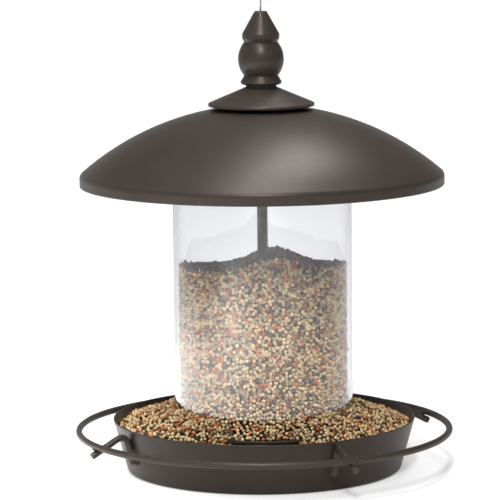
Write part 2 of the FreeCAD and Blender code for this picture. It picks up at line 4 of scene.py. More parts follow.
import bmesh
import bpy
from bpy.props import FloatProperty, FloatVectorProperty, IntProperty, PointerProperty
from mathutils import Matrix, Vector


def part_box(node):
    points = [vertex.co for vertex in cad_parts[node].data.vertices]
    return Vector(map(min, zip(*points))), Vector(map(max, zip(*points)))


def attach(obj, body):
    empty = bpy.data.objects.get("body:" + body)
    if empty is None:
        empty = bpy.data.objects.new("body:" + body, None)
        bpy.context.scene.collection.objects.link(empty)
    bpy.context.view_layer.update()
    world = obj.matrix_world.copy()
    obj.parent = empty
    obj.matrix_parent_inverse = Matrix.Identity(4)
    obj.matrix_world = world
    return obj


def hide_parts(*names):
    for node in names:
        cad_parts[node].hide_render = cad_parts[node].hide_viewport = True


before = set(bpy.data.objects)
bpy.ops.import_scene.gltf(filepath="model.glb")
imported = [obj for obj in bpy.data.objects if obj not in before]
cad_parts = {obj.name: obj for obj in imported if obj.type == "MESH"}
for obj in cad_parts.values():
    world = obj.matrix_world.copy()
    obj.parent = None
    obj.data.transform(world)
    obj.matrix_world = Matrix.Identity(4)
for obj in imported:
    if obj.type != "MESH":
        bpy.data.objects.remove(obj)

bl_info = {
    "name": "Hanging Seed Feeder",
    "version": (1, 0, 0),
    "blender": (4, 5, 0),
    "location": "3D View > Sidebar > Feeder",
    "description": "Finishes a roofed tube feeder: powder-coated metal, clear tube, wire perch, cable and seed",
    "category": "Add Mesh",
}

MM = 0.001
AXIS_UP = Vector((0, 0, 1))

# The camera: its lens and sensor in mm, what it looks at, and its distance, rise and roll.
LENS, SENSOR = 230.4, 36
CAMERA_AIM, CAMERA_DISTANCE = (-0.01451, 0, 0.1515), 2.2
CAMERA_RISE, CAMERA_ROLL = math.radians(7.93), math.radians(-0.559)
FLOOR_HALF_SIZE, FLOOR_GAP = 6, 0.3 * MM
BACKDROP_LEVEL = 1.04

# The tray as the welds and the feed meet it: how far its wall leans out, and its inside at the foot.
TRAY_WALL_LEAN = 9.9 * MM
TRAY_FOOT_BORE, TRAY_FOOT_REACH = 93.3 * MM, 94.5 * MM
SEAT_WIDTH = 6 * MM

# Weld beads: levels on the tray's wall, and each bead's length, width and height.
WALL_BEAD_LEVELS, WALL_BEAD = (14 * MM, 20 * MM), (3.4 * MM, 0.9 * MM, 1.0 * MM)
RING_BEAD = (2.6 * MM, 0.7 * MM, 0.9 * MM)
# Where their middles lie: out from the tray's face, to a side of the ring's wire, and, in radii of the wire,
# beside the bracket and below the ring.
BEAD_OUT, BEAD_ASIDE = 0.5 * MM, 1.6 * MM
BEAD_BESIDE, BEAD_BELOW = 0.95, 0.86

OUTER_STRANDS, STRAND_SIDES = 6, 8

# The feed in the tube: how wide its ridge is, and how fast it falls to the back.
RIDGE_SPREAD, FEED_FALL = 21 * MM, 0.078
# The heap in the tray: its gap to the rim, its level there, its levels where it is eaten away,
# and the directions from the front between which it comes up to its full height.
HEAP_GAP, HEAP_RIM_LEVEL = 3.3 * MM, 30.2 * MM
EATEN_AT_TUBE, EATEN_AT_WALL = 25 * MM, 13 * MM
EATEN_FROM, EATEN_TO = math.radians(16), math.radians(38)

# Share of the grains below each kind's limit, and that kind's size and shape: white, red, black, brown.
GRAIN_KINDS = ((0.71, (1.08, 0.96, 0.84)), (0.92, (1.04, 0.94, 0.86)), (0.98, (1.25, 1.0, 0.9)),
               (1.01, (2.0, 1.3, 0.8)))
FIRST_SEED, SEED_STEP = 3, 20
# How far the outer grains' middles keep from the tube's bore, its foot, the rod, the tube's outside and the
# tray's wall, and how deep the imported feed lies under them, all in grain widths.
FROM_BORE, FROM_FOOT, FROM_ROD, FROM_OUTSIDE, FROM_WALL = 0.95, 0.4, 0.5, 0.45, 0.4
BED_DEPTH = 0.9
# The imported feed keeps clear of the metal: of the rod, the seat and the tray's wall at its foot.
ROD_GAP, SEAT_GAP, FOOT_GAP = 0.2 * MM, 0.3 * MM, 0.6 * MM


@functools.lru_cache(maxsize=None)
def ends(node):
    """A node's lowest and highest corner, read once."""
    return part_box(node)


def low(node):
    return ends(node)[0]


def high(node):
    return ends(node)[1]


class FeederSizes(bpy.types.PropertyGroup):
    """Sizes that the frame doesn't give."""

    tube_wall: FloatProperty(name="Tube wall", description="Thickness of the clear tube",
                             default=2 * MM, unit="LENGTH")
    ring_wire: FloatProperty(name="Perch wire", description="Thickness of the perch ring's wire",
                             default=4.6 * MM, unit="LENGTH")
    bracket_angle: FloatProperty(name="Bracket direction", description="Direction of the first bracket from +X",
                                 default=math.radians(27), subtype="ANGLE")
    bracket_count: IntProperty(name="Brackets", description="Brackets round the tray", default=4)
    cable_width: FloatProperty(name="Cable", description="Thickness of the hanging cable",
                               default=1.2 * MM, unit="LENGTH")
    cable_lay: FloatProperty(name="Cable lay", description="Length in which a strand goes once round",
                             default=9 * MM, unit="LENGTH")
    grain: FloatProperty(name="Grain", description="Usual width of a grain of millet",
                         default=2.75 * MM, unit="LENGTH")
    ridge_height: FloatProperty(name="Ridge", description="Height of the ridge on top of the feed in the tube",
                                default=10.8 * MM, unit="LENGTH")
    ridge_side: FloatProperty(name="Ridge place", description="How far right of the rod the ridge lies",
                              default=8 * MM, unit="LENGTH")
    tube_feed_level: FloatProperty(name="Feed level", description="Level of the feed beside the ridge in the tube",
                                   default=143.5 * MM, unit="LENGTH")


class FeederFinishes(bpy.types.PropertyGroup):
    """Colours of the finishes."""

    bronze: FloatVectorProperty(name="Bronze coat", description="Powder coat on the metal",
                                default=(0.031, 0.0235, 0.019), size=3, subtype="COLOR", min=0, max=1)
    cream: FloatVectorProperty(name="White millet", description="Most of the grains",
                               default=(0.76, 0.55, 0.28), size=3, subtype="COLOR", min=0, max=1)
    red: FloatVectorProperty(name="Red millet", description="About a fifth of the grains",
                             default=(0.44, 0.13, 0.035), size=3, subtype="COLOR", min=0, max=1)
    black: FloatVectorProperty(name="Black seed", description="The few dark grains",
                               default=(0.018, 0.017, 0.018), size=3, subtype="COLOR", min=0, max=1)
    brown: FloatVectorProperty(name="Brown seed", description="The few large brown seeds",
                               default=(0.13, 0.065, 0.035), size=3, subtype="COLOR", min=0, max=1)


def sizes():
    return bpy.context.scene.feeder_sizes


def finishes():
    return bpy.context.scene.feeder_finishes


# Shader building

def add_node(tree, kind, **settings):
    node = tree.nodes.new(kind)
    for name, value in settings.items():
        setattr(node, name, value)
    return node


def feed(tree, node, socket, source):
    """Set a socket to a value, or link it to another node's output."""
    target = node.inputs[socket]
    if isinstance(source, bpy.types.NodeSocket):
        tree.links.new(source, target)
    else:
        target.default_value = source


def noise(tree, where, scale, detail=3.0, roughness=0.5):
    node = add_node(tree, "ShaderNodeTexNoise")
    feed(tree, node, "Vector", where)
    feed(tree, node, "Scale", scale)
    feed(tree, node, "Detail", detail)
    feed(tree, node, "Roughness", roughness)
    return node.outputs["Fac"]


def remap(tree, value, low_in, high_in, low_out, high_out):
    node = add_node(tree, "ShaderNodeMapRange")
    for socket, source in (("Value", value), ("From Min", low_in), ("From Max", high_in),
                           ("To Min", low_out), ("To Max", high_out)):
        feed(tree, node, socket, source)
    return node.outputs["Result"]


def arithmetic(tree, operation, first, second):
    node = add_node(tree, "ShaderNodeMath", operation=operation)
    feed(tree, node, 0, first)
    feed(tree, node, 1, second)
    return node.outputs[0]


def scaled(tree, vector, amount):
    node = add_node(tree, "ShaderNodeVectorMath", operation="SCALE")
    feed(tree, node, 0, vector)
    feed(tree, node, "Scale", amount)
    return node.outputs[0]


def axes_of(tree, vector):
    """A vector's outputs by axis."""
    node = add_node(tree, "ShaderNodeSeparateXYZ")
    feed(tree, node, 0, vector)
    return node.outputs


def object_place(tree):
    return add_node(tree, "ShaderNodeTexCoord").outputs["Object"]


def mix_value(tree, factor, first, second):
    node = add_node(tree, "ShaderNodeMix", data_type="FLOAT")
    feed(tree, node, 0, factor)
    feed(tree, node, 2, first)
    feed(tree, node, 3, second)
    return node.outputs[0]


def blend_colour(tree, factor, first, second):
    node = add_node(tree, "ShaderNodeMix", data_type="RGBA")
    feed(tree, node, 0, factor)
    feed(tree, node, 6, first)
    feed(tree, node, 7, second)
    return node.outputs[2]


def opaque(colour):
    return (*colour, 1.0)


def shader_group(name, inputs, outputs):
    """A shader node group with named sockets, and its two end nodes."""
    group = bpy.data.node_groups.new(name, "ShaderNodeTree")
    for socket, kind, default in inputs:
        item = group.interface.new_socket(socket, in_out="INPUT", socket_type=kind)
        if default is not None:
            item.default_value = default
    for socket, kind in outputs:
        group.interface.new_socket(socket, in_out="OUTPUT", socket_type=kind)
    return group, group.nodes.new("NodeGroupInput"), group.nodes.new("NodeGroupOutput")


def powder_coat_group():
    """Sprayed and baked powder: a fine pebbled skin with slow changes of shade and gloss."""
    group, given, result = shader_group(
        "Powder Coat",
        [("Colour", "NodeSocketColor", (0.04, 0.03, 0.024, 1)), ("Pebble Scale", "NodeSocketFloat", 900.0),
         ("Shade Spread", "NodeSocketFloat", 0.18), ("Gloss", "NodeSocketFloat", 0.4)],
        [("Colour", "NodeSocketColor"), ("Roughness", "NodeSocketFloat"), ("Height", "NodeSocketFloat")])
    where = object_place(group)
    pebble = noise(group, where, given.outputs["Pebble Scale"], 2.0, 0.55)
    speck = noise(group, where, 2600.0, 1.0)
    cloud = noise(group, where, 22.0, 4.0)
    grains = arithmetic(group, "ADD", arithmetic(group, "MULTIPLY", pebble, 0.6),
                        arithmetic(group, "MULTIPLY", speck, 0.4))
    both = arithmetic(group, "ADD", arithmetic(group, "MULTIPLY", cloud, 0.5),
                      arithmetic(group, "MULTIPLY", grains, 0.5))
    up = arithmetic(group, "ADD", 1.0, given.outputs["Shade Spread"])
    down = arithmetic(group, "SUBTRACT", 1.0, given.outputs["Shade Spread"])
    shade = remap(group, both, 0.3, 0.7, down, up)
    feed(group, result, "Colour", scaled(group, given.outputs["Colour"], shade))
    rough = remap(group, both, 0.3, 0.7, arithmetic(group, "SUBTRACT", given.outputs["Gloss"], 0.04),
                  arithmetic(group, "ADD", given.outputs["Gloss"], 0.05))
    feed(group, result, "Roughness", rough)
    feed(group, result, "Height", grains)
    return group


def edge_wear_group():
    """Where a coated edge is rubbed thin, and the dust that settles on faces turned up."""
    group, given, result = shader_group(
        "Edge Wear And Dust",
        [("Colour", "NodeSocketColor", (0.04, 0.03, 0.024, 1)),
         ("Worn Colour", "NodeSocketColor", (0.1, 0.085, 0.07, 1)), ("Wear", "NodeSocketFloat", 0.4),
         ("Dust Colour", "NodeSocketColor", (0.35, 0.32, 0.28, 1)), ("Dust", "NodeSocketFloat", 0.03)],
        [("Colour", "NodeSocketColor"), ("Mask", "NodeSocketFloat")])
    surface = add_node(group, "ShaderNodeNewGeometry")
    where = object_place(group)
    edge = remap(group, surface.outputs["Pointiness"], 0.53, 0.60, 0.0, 1.0)
    broken = remap(group, noise(group, where, 160.0, 5.0, 0.6), 0.42, 0.6, 0.0, 1.0)
    mask = arithmetic(group, "MULTIPLY", arithmetic(group, "MULTIPLY", edge, broken), given.outputs["Wear"])
    worn = blend_colour(group, mask, given.outputs["Colour"], given.outputs["Worn Colour"])
    level = remap(group, axes_of(group, surface.outputs["Normal"])["Z"], 0.5, 1.0, 0.0, 1.0)
    specks = remap(group, noise(group, where, 480.0, 6.0, 0.7), 0.52, 0.72, 0.0, 1.0)
    dust = arithmetic(group, "MULTIPLY", arithmetic(group, "MULTIPLY", level, specks), given.outputs["Dust"])
    feed(group, result, "Colour", blend_colour(group, dust, worn, given.outputs["Dust Colour"]))
    feed(group, result, "Mask", mask)
    return group


def shared_group(make, name):
    return bpy.data.node_groups.get(name) or make()


def new_material(name):
    material = bpy.data.materials.new(name)
    material.use_nodes = True
    tree = material.node_tree
    return material, tree, tree.nodes["Principled BSDF"]


def made_once(make):
    """Let a material's function give the material of that name if it is there, and make it if not."""
    @functools.wraps(make)
    def material_of(name, **details):
        return bpy.data.materials.get(name) or make(name, **details)
    return material_of


def raise_surface(tree, shader, height, distance, strength):
    bump = add_node(tree, "ShaderNodeBump")
    feed(tree, bump, "Height", height)
    feed(tree, bump, "Distance", distance)
    feed(tree, bump, "Strength", strength)
    feed(tree, shader, "Normal", bump.outputs["Normal"])


@made_once
def coated_metal(name, colour, gloss, wear, dust):
    material, tree, shader = new_material(name)
    coat = add_node(tree, "ShaderNodeGroup", node_tree=shared_group(powder_coat_group, "Powder Coat"))
    feed(tree, coat, "Colour", opaque(colour))
    feed(tree, coat, "Gloss", gloss)
    edge = add_node(tree, "ShaderNodeGroup", node_tree=shared_group(edge_wear_group, "Edge Wear And Dust"))
    feed(tree, edge, "Colour", coat.outputs["Colour"])
    feed(tree, edge, "Wear", wear)
    feed(tree, edge, "Dust", dust)
    feed(tree, shader, "Base Color", edge.outputs["Colour"])
    feed(tree, shader, "Roughness", coat.outputs["Roughness"])
    raise_surface(tree, shader, coat.outputs["Height"], 0.00012, 0.35)
    shader.inputs["Specular IOR Level"].default_value = 0.34
    shader.inputs["Specular Tint"].default_value = (1.0, 0.87, 0.80, 1)
    return material


def bronze():
    return coated_metal("bronze_coat", colour=finishes().bronze, gloss=0.36, wear=0.35, dust=0.04)


def bronze_wire():
    return coated_metal("bronze_wire", colour=[c * 1.15 for c in finishes().bronze], gloss=0.36, wear=0.5, dust=0.03)


@made_once
def drawn_metal(name, colour, roughness, streak):
    """Bare metal with fine lines along its length and a dull skin."""
    material, tree, shader = new_material(name)
    place = add_node(tree, "ShaderNodeMapping")
    feed(tree, place, "Vector", object_place(tree))
    feed(tree, place, "Scale", (streak, streak, streak * 0.05))
    lines = noise(tree, place.outputs["Vector"], 1.0, 3.0)
    tarnish = noise(tree, object_place(tree), 90.0, 4.0)
    shade = arithmetic(tree, "MULTIPLY", remap(tree, lines, 0.3, 0.7, 0.85, 1.1),
                       remap(tree, tarnish, 0.3, 0.7, 0.8, 1.05))
    feed(tree, shader, "Base Color", scaled(tree, colour, shade))
    feed(tree, shader, "Roughness", remap(tree, tarnish, 0.3, 0.7, roughness - 0.06, roughness + 0.1))
    shader.inputs["Metallic"].default_value = 1.0
    raise_surface(tree, shader, lines, 0.00005, 0.3)
    return material


def fastener_metal():
    return drawn_metal("zinc_plate", colour=(0.46, 0.45, 0.42), roughness=0.38, streak=900.0)


def cable_metal():
    return drawn_metal("cable_steel_bright", colour=(0.52, 0.52, 0.52), roughness=0.32, streak=2500.0)


@made_once
def rubber(name):
    """Black rubber with a pale bloom."""
    material, tree, shader = new_material(name)
    where = object_place(tree)
    bloom = noise(tree, where, 260.0, 5.0)
    feed(tree, shader, "Base Color", blend_colour(tree, remap(tree, bloom, 0.35, 0.7, 0.0, 1.0),
                                                  (0.012, 0.012, 0.012, 1), (0.03, 0.03, 0.029, 1)))
    feed(tree, shader, "Roughness", remap(tree, bloom, 0.3, 0.7, 0.6, 0.8))
    raise_surface(tree, shader, bloom, 0.0001, 0.4)
    return material


@made_once
def clear_plastic(name):
    """Clear moulded plastic, with painted shade where seen edge on; light passes straight through it to what it
    holds.
    """
    material, tree, shader = new_material(name)
    facing = add_node(tree, "ShaderNodeLayerWeight").outputs["Facing"]
    # Painted shade: the colour greys where the tube is seen edge on.
    feed(tree, shader, "Base Color", blend_colour(tree, remap(tree, facing, 0.6, 0.85, 0.0, 1.0),
                                                  (0.992, 0.994, 1.0, 1), (0.72, 0.71, 0.71, 1)))
    shader.inputs["Transmission Weight"].default_value = 1.0
    shader.inputs["IOR"].default_value = 1.56
    where = object_place(tree)
    rubbed = noise(tree, where, 70.0, 6.0, 0.65)
    feed(tree, shader, "Roughness", remap(tree, rubbed, 0.55, 0.8, 0.0, 0.012))
    ripple = noise(tree, where, 14.0, 2.0)
    raise_surface(tree, shader, ripple, 0.0003, 0.06)
    path = add_node(tree, "ShaderNodeLightPath")
    through = add_node(tree, "ShaderNodeBsdfTransparent")
    through.inputs["Color"].default_value = (0.93, 0.94, 0.95, 1)
    mix = add_node(tree, "ShaderNodeMixShader")
    feed(tree, mix, 0, path.outputs["Is Shadow Ray"])
    feed(tree, mix, 1, shader.outputs["BSDF"])
    feed(tree, mix, 2, through.outputs["BSDF"])
    tree.links.new(mix.outputs[0], tree.nodes["Material Output"].inputs["Surface"])
    body = add_node(tree, "ShaderNodeVolumeAbsorption")
    body.inputs["Color"].default_value = (0.0, 0.02, 0.12, 1)
    body.inputs["Density"].default_value = 34.0
    tree.links.new(body.outputs[0], tree.nodes["Material Output"].inputs["Volume"])
    return material


@made_once
def seed_material(name):
    """Mixed grain: each grain's kind and shade come from its own attributes."""
    material, tree, shader = new_material(name)
    kind = add_node(tree, "ShaderNodeAttribute", attribute_name="grain_kind").outputs["Fac"]
    shade = add_node(tree, "ShaderNodeAttribute", attribute_name="grain_shade").outputs["Fac"]
    colours = finishes()

    def shades(darkest, lightest, colour):
        return blend_colour(tree, shade, opaque([min(c * darkest, 1) for c in colour]),
                            opaque([min(c * lightest, 1) for c in colour]))

    colour = shades(0.42, 1.12, colours.cream)
    others = (shades(0.35, 1.5, colours.red), shades(1, 3.2, colours.black), shades(0.6, 1.3, colours.brown))
    for (limit, _), other in zip(GRAIN_KINDS, others):
        colour = blend_colour(tree, arithmetic(tree, "GREATER_THAN", kind, limit), colour, other)
    where = object_place(tree)
    mottle = noise(tree, where, 900.0, 4.0, 0.6)
    feed(tree, shader, "Base Color", scaled(tree, colour, remap(tree, mottle, 0.3, 0.7, 0.82, 1.15)))
    feed(tree, shader, "Roughness", remap(tree, mottle, 0.3, 0.7, 0.34, 0.52))
    raise_surface(tree, shader, mottle, 0.0001, 0.3)
    return material


@made_once
def bed_material(name):
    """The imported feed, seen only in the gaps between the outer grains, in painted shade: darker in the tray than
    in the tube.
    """
    material, tree, shader = new_material(name)
    where = object_place(tree)
    cells = add_node(tree, "ShaderNodeTexVoronoi")
    feed(tree, cells, "Vector", where)
    feed(tree, cells, "Scale", 430.0)
    pick = add_node(tree, "ShaderNodeSeparateColor")
    feed(tree, pick, 0, cells.outputs["Color"])
    colours = finishes()
    # Painted shade: the imported grains are drawn darker than the outer grains.
    body = blend_colour(tree, arithmetic(tree, "GREATER_THAN", pick.outputs[0], 0.74),
                        opaque([c * 0.8 for c in colours.cream]), opaque([c * 0.8 for c in colours.red]))
    # Painted shade in the gaps between the imported grains: darker towards each cell's edge.
    edge = remap(tree, cells.outputs["Distance"], 0.1, 0.5, 0.6, 0.06)
    # Painted shade: darker low down in the tray, lighter up in the tube.
    shaded = remap(tree, axes_of(tree, where)["Z"], 46 * MM, 60 * MM, 0.15, 1.5)
    feed(tree, shader, "Base Color", scaled(tree, body, arithmetic(tree, "MULTIPLY", edge, shaded)))
    shader.inputs["Roughness"].default_value = 0.8
    raise_surface(tree, shader, edge, 0.0008, 0.8)
    return material


@made_once
def floor_material(name):
    """White floor: it glows a little to the camera, reflects dimly far in front, and is clear from below."""
    material, tree, shader = new_material(name)
    where = object_place(tree)
    seen = add_node(tree, "ShaderNodeLightPath")
    looked_at = arithmetic(tree, "MAXIMUM", seen.outputs["Is Camera Ray"], seen.outputs["Is Transmission Ray"])
    shaded = remap(tree, axes_of(tree, where)["Y"], -1.5, -0.8, 0.4, 1.0)
    colour = blend_colour(tree, noise(tree, where, 3.0, 3.0), (0.58, 0.58, 0.58, 1), (0.60, 0.60, 0.60, 1))
    feed(tree, shader, "Base Color", scaled(tree, colour, arithmetic(tree, "MAXIMUM", shaded, looked_at)))
    shader.inputs["Roughness"].default_value = 0.9
    shader.inputs["Specular IOR Level"].default_value = 0.1
    shader.inputs["Emission Color"].default_value = (1, 1, 1, 1)
    through = arithmetic(tree, "MULTIPLY", seen.outputs["Is Transmission Ray"], 0.19)
    away = add_node(tree, "ShaderNodeVectorMath", operation="LENGTH")
    feed(tree, away, 0, where)
    glow = remap(tree, away.outputs["Value"], 0.15, 0.6, 0.30, 0.47)
    straight = arithmetic(tree, "MULTIPLY", seen.outputs["Is Camera Ray"], glow)
    feed(tree, shader, "Emission Strength", arithmetic(tree, "ADD", straight, through))
    below = add_node(tree, "ShaderNodeMixShader")
    feed(tree, below, 0, add_node(tree, "ShaderNodeNewGeometry").outputs["Backfacing"])
    feed(tree, below, 1, shader.outputs["BSDF"])
    feed(tree, below, 2, add_node(tree, "ShaderNodeBsdfTransparent").outputs["BSDF"])
    feed(tree, tree.nodes["Material Output"], "Surface", below.outputs[0])
    return material


# Mesh building

def dress(piece, material):
    piece.data.materials.clear()
    piece.data.materials.append(material)


def dress_node(name, material):
    """Give a carried-over piece of the frame its finish."""
    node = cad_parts[name]
    for slot in node.material_slots:
        slot.material = material


def finish_mesh(build, name, sharp=math.radians(32)):
    """Turn a bmesh into an object with outward faces, smooth but for its real edges."""
    bmesh.ops.recalc_face_normals(build, faces=build.faces)
    for face in build.faces:
        face.smooth = True
    for edge in build.edges:
        edge.smooth = len(edge.link_faces) == 2 and edge.calc_face_angle(0) < sharp
    mesh = bpy.data.meshes.new(name)
    build.to_mesh(mesh)
    build.free()
    piece = bpy.data.objects.new(name, mesh)
    bpy.context.scene.collection.objects.link(piece)
    return piece


def soften(corners, steps):
    """Round an outline's corners; a corner is (across, up, radius)."""
    outline = []
    for index, (across, up, radius) in enumerate(corners):
        here = Vector((across, up))
        if radius == 0:
            outline.append((across, up))
            continue
        back = (Vector(corners[index - 1][:2]) - here).normalized()
        ahead = (Vector(corners[(index + 1) % len(corners)][:2]) - here).normalized()
        half = back.angle(ahead) / 2
        centre = here + (back + ahead).normalized() * (radius / math.sin(half))
        start = here + back * (radius / math.tan(half)) - centre
        end = here + ahead * (radius / math.tan(half)) - centre
        sweep = start.angle_signed(end)
        for step in range(steps + 1):
            turn = -sweep * step / steps
            outline.append((centre.x + start.x * math.cos(turn) - start.y * math.sin(turn),
                            centre.y + start.x * math.sin(turn) + start.y * math.cos(turn)))
    return outline


def lathe(name, outline, around, sharp):
    """Turn a closed outline of (distance from the axis, height) about the feeder's axis."""
    build = bmesh.new()
    rings = []
    for step in range(around):
        angle = math.tau * step / around
        rings.append([build.verts.new((across * math.cos(angle), across * math.sin(angle), up))
                      for across, up in outline])
    for here, there in zip(rings, rings[1:] + rings[:1]):
        for index in range(len(outline)):
            build.faces.new((here[index - 1], there[index - 1], there[index], here[index]))
    return finish_mesh(build, name, sharp)


def wire_along(build, route, radius, sides):
    """Add a round wire along a route of points to a bmesh, with its ends closed."""
    rings = []
    side = None
    for index, point in enumerate(route):
        ahead = (route[min(index + 1, len(route) - 1)] - route[max(index - 1, 0)]).normalized()
        if side is None:
            side = ahead.orthogonal().normalized()
        side = (side - ahead * side.dot(ahead)).normalized()
        other = ahead.cross(side)
        rings.append([build.verts.new(point + side * (radius * math.cos(math.tau * step / sides))
                                      + other * (radius * math.sin(math.tau * step / sides)))
                      for step in range(sides)])
    for here, there in zip(rings, rings[1:]):
        for step in range(sides):
            build.faces.new((here[step - 1], here[step], there[step], there[step - 1]))
    build.faces.new(reversed(rings[0]))
    build.faces.new(rings[-1])


def weld_bead(build, middle, along, across, length, width, height):
    """Add a low oval bead of weld to a bmesh, flattened on the surface that it lies on."""
    up = along.cross(across).normalized()
    made = bmesh.ops.create_icosphere(build, subdivisions=3, radius=1.0)["verts"]
    for vert in made:
        ripple = 1 + 0.08 * math.sin(vert.co.x * 11) * (1 - vert.co.z * vert.co.z)
        vert.co = middle + along * (vert.co.x * length) + across * (vert.co.y * width * ripple) \
            + up * (vert.co.z * height * ripple)


# The stage

class FEEDER_OT_stage(bpy.types.Operator):
    """Set up the camera, the pale floor and the soft lights"""

    bl_idname = "feeder.stage"
    bl_label = "Stage"

    def execute(self, context):
        make_camera(context.scene)
        make_floor()
        make_lights(context.scene)
        return {"FINISHED"}


def make_camera(scene):
    """A long lens a little above the tray, with the feeder right of the middle."""
    lens = bpy.data.cameras.new("product_camera")
    lens.sensor_width, lens.lens = SENSOR, LENS
    lens.clip_start, lens.clip_end = 0.05, 50
    camera = bpy.data.objects.new("product_camera", lens)
    scene.collection.objects.link(camera)
    back = Vector((0, -math.cos(CAMERA_RISE), math.sin(CAMERA_RISE)))
    camera.location = Vector(CAMERA_AIM) + back * CAMERA_DISTANCE
    level = (-back).to_track_quat("-Z", "Y").to_matrix()
    camera.rotation_mode = "QUATERNION"
    camera.rotation_quaternion = (level @ Matrix.Rotation(CAMERA_ROLL, 3, "Z")).to_quaternion()
    scene.camera = camera


def make_floor():
    build = bmesh.new()
    bmesh.ops.create_grid(build, x_segments=2, y_segments=2, size=FLOOR_HALF_SIZE)
    bmesh.ops.translate(build, verts=build.verts, vec=(0, 0, low("tray_pan").z - FLOOR_GAP))
    floor = finish_mesh(build, "studio_floor")
    for face in floor.data.polygons:
        if face.normal.z < 0:
            floor.data.flip_normals()
            break
    dress(floor, floor_material("pale_floor"))


def soft_light(scene, name, place, aim, width, length, power):
    data = bpy.data.lights.new(name, "AREA")
    data.shape = "RECTANGLE"
    data.size, data.size_y = width, length
    data.energy = power
    light = bpy.data.objects.new(name, data)
    scene.collection.objects.link(light)
    light.location = place
    light.rotation_mode = "QUATERNION"
    light.rotation_quaternion = (Vector(aim) - Vector(place)).to_track_quat("-Z", "Y")
    return light


def make_world(scene):
    """A white tent, darker to the right: it lights from above, and a reflection finds it bright only low down."""
    world = bpy.data.worlds.new("studio_world")
    scene.world = world
    world.use_nodes = True
    tree = world.node_tree
    direction = axes_of(tree, add_node(tree, "ShaderNodeTexCoord").outputs["Generated"])
    up = direction["Z"]
    path = add_node(tree, "ShaderNodeLightPath")
    side = remap(tree, direction["X"], 0.1, 0.9, 1.0, 0.4)
    falling = arithmetic(tree, "MULTIPLY", side, remap(tree, up, 0.0, 0.7, 0.28, 1.2))
    mirrored = arithmetic(tree, "MULTIPLY", side, remap(tree, up, 0.02, 0.35, 0.55, 0.12))
    seen = arithmetic(tree, "MAXIMUM", path.outputs["Is Camera Ray"], path.outputs["Is Transmission Ray"])
    unseen = mix_value(tree, path.outputs["Is Glossy Ray"], falling, mirrored)
    background = tree.nodes["Background"]
    feed(tree, background, "Color", (1, 1, 1, 1))
    feed(tree, background, "Strength", mix_value(tree, seen, unseen, BACKDROP_LEVEL))


def make_lights(scene):
    make_world(scene)
    soft_light(scene, "overhead_bank", (0.055, 0.10, 1.7), (0, 0, 0.2), width=0.38, length=1.75, power=21)
    soft_light(scene, "front_bank", (-0.05, -1.48, 1.66), (0, 0, 0.2), width=0.16, length=0.8, power=29)
    for name, place, width, power in (("floor_wash_left", (-0.45, -0.25, 0.5), 0.5, 8),
                                      ("floor_wash_front", (0, -0.95, 0.7), 1.2, 4.8)):
        wash = soft_light(scene, name, place, (*place[:2], 0), width, length=1.1, power=power)
        wash.data.spread = math.radians(60)
        wash.visible_glossy = False
    scene.view_settings.view_transform = "Standard"


# The metal pieces

class FEEDER_OT_coated_metal(bpy.types.Operator):
    """Powder coat the tray, its seat, the rod and the roof"""

    bl_idname = "feeder.coated_metal"
    bl_label = "Coated Metal"

    def execute(self, context):
        for name in ("tray_pan", "tube_seat", "seat_legs", "center_rod", "roof_dome", "roof_collar",
                     "roof_cap", "finial"):
            dress_node(name, bronze())
        return {"FINISHED"}


class FEEDER_OT_fasteners(bpy.types.Operator):
    """Finish the nuts, washer, spacer, gasket and the fittings on the cable"""

    bl_idname = "feeder.fasteners"
    bl_label = "Fasteners And Fittings"

    def execute(self, context):
        for name in ("rod_washer", "rod_nut", "rod_lock_nut", "cap_spacer"):
            dress_node(name, fastener_metal())
        for name in ("cable_anchor", "cable_eye"):
            dress_node(name, cable_metal())
        dress_node("finial_gasket", rubber("gasket_rubber"))
        return {"FINISHED"}


class FEEDER_OT_perch(bpy.types.Operator):
    """Finish the perch ring and its brackets, and add the welds that join them to each other and to the tray"""

    bl_idname = "feeder.perch"
    bl_label = "Perch Ring And Brackets"

    def execute(self, context):
        for name in ("perch_ring", "perch_bracket_right", "perch_bracket_back", "perch_bracket_left",
                     "perch_bracket_front"):
            dress_node(name, bronze_wire())
        given = sizes()
        build = bmesh.new()
        ring = ring_radius()
        wire = given.ring_wire / 2
        for side in (-1, 1):
            for level in WALL_BEAD_LEVELS:
                weld_bead(build, Vector((tray_face(level) + BEAD_OUT, side * wire * BEAD_BESIDE, level)), AXIS_UP,
                          Vector((0, side, 0)), *WALL_BEAD)
            weld_bead(build, Vector((ring + side * BEAD_ASIDE, 0, ring_level() - wire * BEAD_BELOW)),
                      Vector((0, 1, 0)), Vector((side, 0, 0)), *RING_BEAD)
        beads = finish_mesh(build, "bracket_weld_source", math.radians(70))
        modifier = beads.modifiers.new("around", "NODES")
        modifier.node_group = ring_array_tree()
        values = {"Count": given.bracket_count, "First Angle": given.bracket_angle, "Finish": bronze_wire()}
        welds = bake_nodes(beads, "bracket_welds", values)
        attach(welds, "feeder_base")
        return {"FINISHED"}


def ring_radius():
    return high("perch_ring").x - sizes().ring_wire / 2


def ring_level():
    return (low("perch_ring").z + high("perch_ring").z) / 2


def tray_face(level):
    """Distance from the axis to the outside of the tray's wall at a height."""
    pan = high("tray_pan")
    return pan.x - TRAY_WALL_LEAN * (1 - level / pan.z)


def set_inputs(modifier, values):
    for item in modifier.node_group.interface.items_tree:
        if item.in_out == "INPUT" and item.name in values:
            modifier[item.identifier] = values[item.name]


def bake_nodes(source, name, values):
    """Keep the result of a piece's Geometry Nodes as a plain mesh, and drop the source."""
    set_inputs(source.modifiers[-1], values)
    bpy.context.view_layer.update()
    graph = bpy.context.evaluated_depsgraph_get()
    mesh = bpy.data.meshes.new_from_object(source.evaluated_get(graph), preserve_all_data_layers=True,
                                           depsgraph=graph)
    mesh.name = name
    piece = bpy.data.objects.new(name, mesh)
    bpy.context.scene.collection.objects.link(piece)
    bpy.data.objects.remove(source)
    return piece


